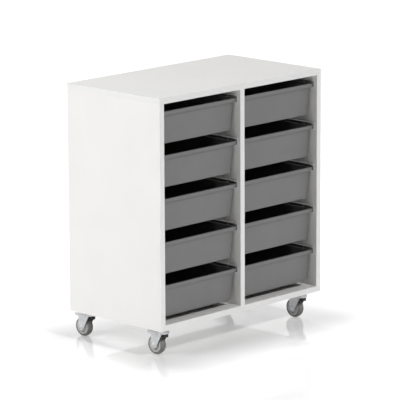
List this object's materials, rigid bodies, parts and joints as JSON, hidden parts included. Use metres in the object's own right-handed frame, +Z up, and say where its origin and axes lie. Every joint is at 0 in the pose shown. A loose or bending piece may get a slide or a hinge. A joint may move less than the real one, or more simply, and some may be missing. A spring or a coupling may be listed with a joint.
{
  "type": "classroom tray storage unit",
  "caption": "Low white two-bay cabinet on braked swivel castors, its open front filled with sliding grey plastic trays on side runners",
  "frame": {"origin": "on the floor, under the middle of the whole unit, with the rear wheels trailing behind the cabinet", "axes": "+Z up, +X to the right seen from the open front, -Y out of the open front"},
  "size_m": [0.7, 0.406, 0.785],
  "materials": {
    "melamine_board": "white melamine face, satin",
    "edging": "white edging strip, satin",
    "beech": "plain beech",
    "tray_plastic": "mid grey moulded, fine texture",
    "coated_steel": "light grey powder coat",
    "zinc_steel": "bright zinc plate",
    "bearing_steel": "polished",
    "wheel_plastic": "light grey moulded",
    "grey_rubber": "mid grey non-marking",
    "black_nylon": "black moulded"
  },
  "bodies": {
    "cabinet": {"top_panel": "melamine_board", "base_panel": "melamine_board", "left_side_panel": "melamine_board", "right_side_panel": "melamine_board", "centre_divider": "melamine_board", "back_panel": "melamine_board", "front_edging": "edging", "top_edging": "edging", "carcass_dowels": "beech", "runner_screws": "zinc_steel", "castor_screws": "zinc_steel", "runners_left_1": "coated_steel", "runners_left_2": "coated_steel", "runners_left_3": "coated_steel", "runners_left_4": "coated_steel", "runners_left_5": "coated_steel", "runners_right_1": "coated_steel", "runners_right_2": "coated_steel", "runners_right_3": "coated_steel", "runners_right_4": "coated_steel", "runners_right_5": "coated_steel", "castor_plate_front_left": "zinc_steel", "swivel_bearing_front_left": "bearing_steel", "castor_plate_front_right": "zinc_steel", "swivel_bearing_front_right": "bearing_steel", "castor_plate_rear_left": "zinc_steel", "swivel_bearing_rear_left": "bearing_steel", "castor_plate_rear_right": "zinc_steel", "swivel_bearing_rear_right": "bearing_steel"},
    "tray_left_1_body": {"tray_left_1": "tray_plastic"},
    "tray_left_2_body": {"tray_left_2": "tray_plastic"},
    "tray_left_3_body": {"tray_left_3": "tray_plastic"},
    "tray_left_4_body": {"tray_left_4": "tray_plastic"},
    "tray_left_5_body": {"tray_left_5": "tray_plastic"},
    "tray_right_1_body": {"tray_right_1": "tray_plastic"},
    "tray_right_2_body": {"tray_right_2": "tray_plastic"},
    "tray_right_3_body": {"tray_right_3": "tray_plastic"},
    "tray_right_4_body": {"tray_right_4": "tray_plastic"},
    "tray_right_5_body": {"tray_right_5": "tray_plastic"},
    "fork_front_left_body": {"castor_fork_front_left": "zinc_steel", "axle_front_left": "zinc_steel"},
    "wheel_front_left_body": {"wheel_centre_front_left": "wheel_plastic", "tyre_front_left": "grey_rubber"},
    "pedal_front_left_body": {"brake_pedal_front_left": "black_nylon"},
    "fork_front_right_body": {"castor_fork_front_right": "zinc_steel", "axle_front_right": "zinc_steel"},
    "wheel_front_right_body": {"wheel_centre_front_right": "wheel_plastic", "tyre_front_right": "grey_rubber"},
    "pedal_front_right_body": {"brake_pedal_front_right": "black_nylon"},
    "fork_rear_left_body": {"castor_fork_rear_left": "zinc_steel", "axle_rear_left": "zinc_steel"},
    "wheel_rear_left_body": {"wheel_centre_rear_left": "wheel_plastic", "tyre_rear_left": "grey_rubber"},
    "pedal_rear_left_body": {"brake_pedal_rear_left": "black_nylon"},
    "fork_rear_right_body": {"castor_fork_rear_right": "zinc_steel", "axle_rear_right": "zinc_steel"},
    "wheel_rear_right_body": {"wheel_centre_rear_right": "wheel_plastic", "tyre_rear_right": "grey_rubber"},
    "pedal_rear_right_body": {"brake_pedal_rear_right": "black_nylon"}
  },
  "joints": [
    {"name": "tray_left_1_slide", "type": "slide", "parent": "cabinet", "child": "tray_left_1_body", "axis": [0, -1, 0], "range_m": [0, 0.27]},
    {"name": "tray_left_2_slide", "type": "slide", "parent": "cabinet", "child": "tray_left_2_body", "axis": [0, -1, 0], "range_m": [0, 0.27]},
    {"name": "tray_left_3_slide", "type": "slide", "parent": "cabinet", "child": "tray_left_3_body", "axis": [0, -1, 0], "range_m": [0, 0.27]},
    {"name": "tray_left_4_slide", "type": "slide", "parent": "cabinet", "child": "tray_left_4_body", "axis": [0, -1, 0], "range_m": [0, 0.27]},
    {"name": "tray_left_5_slide", "type": "slide", "parent": "cabinet", "child": "tray_left_5_body", "axis": [0, -1, 0], "range_m": [0, 0.27]},
    {"name": "tray_right_1_slide", "type": "slide", "parent": "cabinet", "child": "tray_right_1_body", "axis": [0, -1, 0], "range_m": [0, 0.27]},
    {"name": "tray_right_2_slide", "type": "slide", "parent": "cabinet", "child": "tray_right_2_body", "axis": [0, -1, 0], "range_m": [0, 0.27]},
    {"name": "tray_right_3_slide", "type": "slide", "parent": "cabinet", "child": "tray_right_3_body", "axis": [0, -1, 0], "range_m": [0, 0.27]},
    {"name": "tray_right_4_slide", "type": "slide", "parent": "cabinet", "child": "tray_right_4_body", "axis": [0, -1, 0], "range_m": [0, 0.27]},
    {"name": "tray_right_5_slide", "type": "slide", "parent": "cabinet", "child": "tray_right_5_body", "axis": [0, -1, 0], "range_m": [0, 0.27]},
    {"name": "castor_front_left_swivel", "type": "hinge", "parent": "cabinet", "child": "fork_front_left_body", "pos_m": [-0.304, -0.164, 0.077], "axis": [0, 0, 1], "continuous": true},
    {"name": "castor_front_left_roll", "type": "hinge", "parent": "fork_front_left_body", "child": "wheel_front_left_body", "pos_m": [-0.304, -0.139, 0.03], "axis": [1, 0, 0], "continuous": true},
    {"name": "castor_front_left_brake", "type": "hinge", "parent": "fork_front_left_body", "child": "pedal_front_left_body", "pos_m": [-0.304, -0.139, 0.03], "axis": [1, 0, 0], "range_deg": [0, 12]},
    {"name": "castor_front_right_swivel", "type": "hinge", "parent": "cabinet", "child": "fork_front_right_body", "pos_m": [0.304, -0.164, 0.077], "axis": [0, 0, 1], "continuous": true},
    {"name": "castor_front_right_roll", "type": "hinge", "parent": "fork_front_right_body", "child": "wheel_front_right_body", "pos_m": [0.304, -0.139, 0.03], "axis": [1, 0, 0], "continuous": true},
    {"name": "castor_front_right_brake", "type": "hinge", "parent": "fork_front_right_body", "child": "pedal_front_right_body", "pos_m": [0.304, -0.139, 0.03], "axis": [1, 0, 0], "range_deg": [0, 12]},
    {"name": "castor_rear_left_swivel", "type": "hinge", "parent": "cabinet", "child": "fork_rear_left_body", "pos_m": [-0.304, 0.148, 0.077], "axis": [0, 0, 1], "continuous": true},
    {"name": "castor_rear_left_roll", "type": "hinge", "parent": "fork_rear_left_body", "child": "wheel_rear_left_body", "pos_m": [-0.304, 0.173, 0.03], "axis": [1, 0, 0], "continuous": true},
    {"name": "castor_rear_left_brake", "type": "hinge", "parent": "fork_rear_left_body", "child": "pedal_rear_left_body", "pos_m": [-0.304, 0.173, 0.03], "axis": [1, 0, 0], "range_deg": [0, 12]},
    {"name": "castor_rear_right_swivel", "type": "hinge", "parent": "cabinet", "child": "fork_rear_right_body", "pos_m": [0.304, 0.148, 0.077], "axis": [0, 0, 1], "continuous": true},
    {"name": "castor_rear_right_roll", "type": "hinge", "parent": "fork_rear_right_body", "child": "wheel_rear_right_body", "pos_m": [0.304, 0.173, 0.03], "axis": [1, 0, 0], "continuous": true},
    {"name": "castor_rear_right_brake", "type": "hinge", "parent": "fork_rear_right_body", "child": "pedal_rear_right_body", "pos_m": [0.304, 0.173, 0.03], "axis": [1, 0, 0], "range_deg": [0, 12]}
  ]
}
